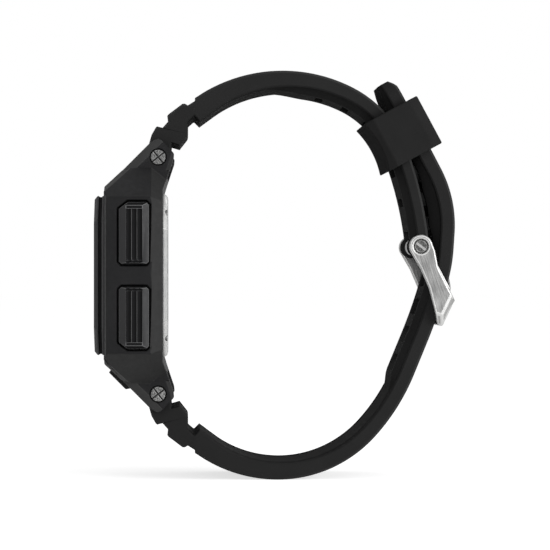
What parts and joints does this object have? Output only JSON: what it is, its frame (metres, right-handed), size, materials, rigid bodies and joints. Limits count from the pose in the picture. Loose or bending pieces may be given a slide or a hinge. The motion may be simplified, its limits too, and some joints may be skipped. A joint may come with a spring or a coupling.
{
  "type": "digital sports wristwatch",
  "caption": "Black digital sports watch with a moulded square case, ribbed side pushers, and a ribbed rubber strap closed by a steel tongue buckle and a rubber keeper.",
  "frame": {"origin": "middle of the case back's flat outer face", "axes": "+X out of the case back towards the wrist, +Y towards 9 o'clock, +Z towards 12 o'clock"},
  "size_m": [0.0714, 0.0474, 0.0801],
  "materials": {
    "case": "fine matte black resin",
    "bezel": "fine matte black resin",
    "crystal": "clear polished",
    "gasket": "matte",
    "mask": "dark satin",
    "lcd": "satin",
    "light": "satin white",
    "inner_resin": "satin off-white",
    "zebra": "matte",
    "board": "satin green",
    "battery": "satin",
    "buzzer": "satin",
    "steel": "brushed",
    "cap": "fine matte black resin",
    "strap": "matte black silicone",
    "keeper": "matte black silicone",
    "buckle": "brushed"
  },
  "bodies": {
    "case": {"case_body": "case", "bezel": "bezel", "crystal": "crystal", "crystal_gasket": "gasket", "hood_plate": "case", "dial_mask": "mask", "lcd_panel": "lcd", "light_panel": "light", "lcd_frame": "inner_resin", "zebra_strips": "zebra", "circuit_board": "board", "battery_holder": "inner_resin", "battery": "battery", "battery_clip": "steel", "buzzer_disc": "buzzer", "case_back": "steel", "case_back_gasket": "gasket", "case_back_screws": "steel", "strap_pin_12": "steel", "strap_pin_6": "steel", "lug_screws": "steel", "pusher_gaskets": "gasket"},
    "strap_12": {"strap_12": "strap"},
    "keeper": {"keeper": "keeper"},
    "buckle": {"buckle_frame": "buckle", "buckle_bar": "steel", "buckle_screws": "steel"},
    "tongue": {"tongue": "buckle"},
    "strap_6": {"strap_6": "strap"},
    "pusher_2": {"pusher_cap_2": "cap", "pusher_stem_2": "steel", "pusher_clip_2": "steel", "pusher_spring_2": "steel"},
    "pusher_4": {"pusher_cap_4": "cap", "pusher_stem_4": "steel", "pusher_clip_4": "steel", "pusher_spring_4": "steel"},
    "pusher_8": {"pusher_cap_8": "cap", "pusher_stem_8": "steel", "pusher_clip_8": "steel", "pusher_spring_8": "steel"},
    "pusher_10": {"pusher_cap_10": "cap", "pusher_stem_10": "steel", "pusher_clip_10": "steel", "pusher_spring_10": "steel"}
  },
  "joints": [
    {"name": "strap_12_swing", "type": "hinge", "parent": "case", "child": "strap_12", "pos_m": [-0.0018, 0, 0.023], "axis": [0, 1, 0], "range_deg": [-0.25, 0.25]},
    {"name": "strap_6_swing", "type": "hinge", "parent": "case", "child": "strap_6", "pos_m": [-0.0018, 0, -0.023], "axis": [0, 1, 0], "range_deg": [-0.25, 0.25]},
    {"name": "keeper_slide", "type": "hinge", "parent": "strap_12", "child": "keeper", "pos_m": [0.02641, 0, 0.01721], "axis": [0, 1, 0], "range_deg": [-3, 3]},
    {"name": "buckle_swing", "type": "hinge", "parent": "strap_12", "child": "buckle", "pos_m": [0.04955, 0, 0.0057], "axis": [0, 1, 0], "range_deg": [-2.5, 0]},
    {"name": "tongue_swing", "type": "hinge", "parent": "buckle", "child": "tongue", "pos_m": [0.04955, 0, 0.0057], "axis": [0, 1, 0], "range_deg": [-2, 0]},
    {"name": "pusher_2_press", "type": "slide", "parent": "case", "child": "pusher_2", "axis": [0, 1, 0], "range_m": [0, 0.0008], "stiffness_N_per_m": 3500, "springref_m": -0.0005, "deforming": ["pusher_spring_2"]},
    {"name": "pusher_4_press", "type": "slide", "parent": "case", "child": "pusher_4", "axis": [0, 1, 0], "range_m": [0, 0.0008], "stiffness_N_per_m": 3500, "springref_m": -0.0005, "deforming": ["pusher_spring_4"]},
    {"name": "pusher_8_press", "type": "slide", "parent": "case", "child": "pusher_8", "axis": [0, -1, 0], "range_m": [0, 0.0008], "stiffness_N_per_m": 3500, "springref_m": -0.0005, "deforming": ["pusher_spring_8"]},
    {"name": "pusher_10_press", "type": "slide", "parent": "case", "child": "pusher_10", "axis": [0, -1, 0], "range_m": [0, 0.0008], "stiffness_N_per_m": 3500, "springref_m": -0.0005, "deforming": ["pusher_spring_10"]}
  ],
  "couplings": [
    {"joint": "strap_6_swing", "follows": "strap_12_swing", "ratio": -1}
  ]
}
